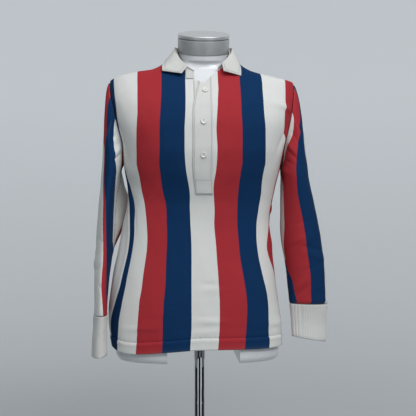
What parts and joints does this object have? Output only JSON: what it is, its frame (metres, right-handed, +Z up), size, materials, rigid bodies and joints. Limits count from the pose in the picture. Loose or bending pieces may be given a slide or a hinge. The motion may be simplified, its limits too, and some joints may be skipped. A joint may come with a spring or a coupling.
{
  "type": "rugby shirt on a dress form and stand",
  "caption": "Long-sleeved rugby shirt with wide vertical stripes, white collar, buttoned placket and rib cuffs, worn by a limbless dress form on a round pole stand.",
  "frame": {"origin": "centre of the base's underside, on the pole's axis, where the stand rests on the floor", "axes": "+Z up along the pole; -Y out of the chest, the side with the placket; +X to the wearer's left, the bent-out sleeve's side"},
  "size_m": [0.5314, 0.3, 1.1407],
  "materials": {
    "jersey": "cotton jersey knit in wide vertical stripes of white, red and navy; one middle colour stands for them here",
    "twill": "white cotton twill",
    "rib": "white cotton rib knit",
    "button": "white resin",
    "label": "plain black woven tape",
    "shell": "white translucent moulded plastic",
    "cap": "silver grey",
    "chrome": "polished"
  },
  "bodies": {
    "root": {"front": "jersey", "back": "jersey", "sleeve_left": "jersey", "sleeve_right": "jersey", "cuff_left": "rib", "cuff_right": "rib", "collar_stand": "twill", "collar_fall": "twill", "neck_label": "label", "placket_underlap": "twill", "placket_overlap": "twill", "button_1": "button", "button_2": "button", "button_3": "button", "form_torso": "shell", "neck_cap": "cap", "neck_lid": "cap", "pole": "chrome", "pole_socket": "chrome", "pole_boss": "chrome", "base": "chrome"}
  },
  "joints": []
}
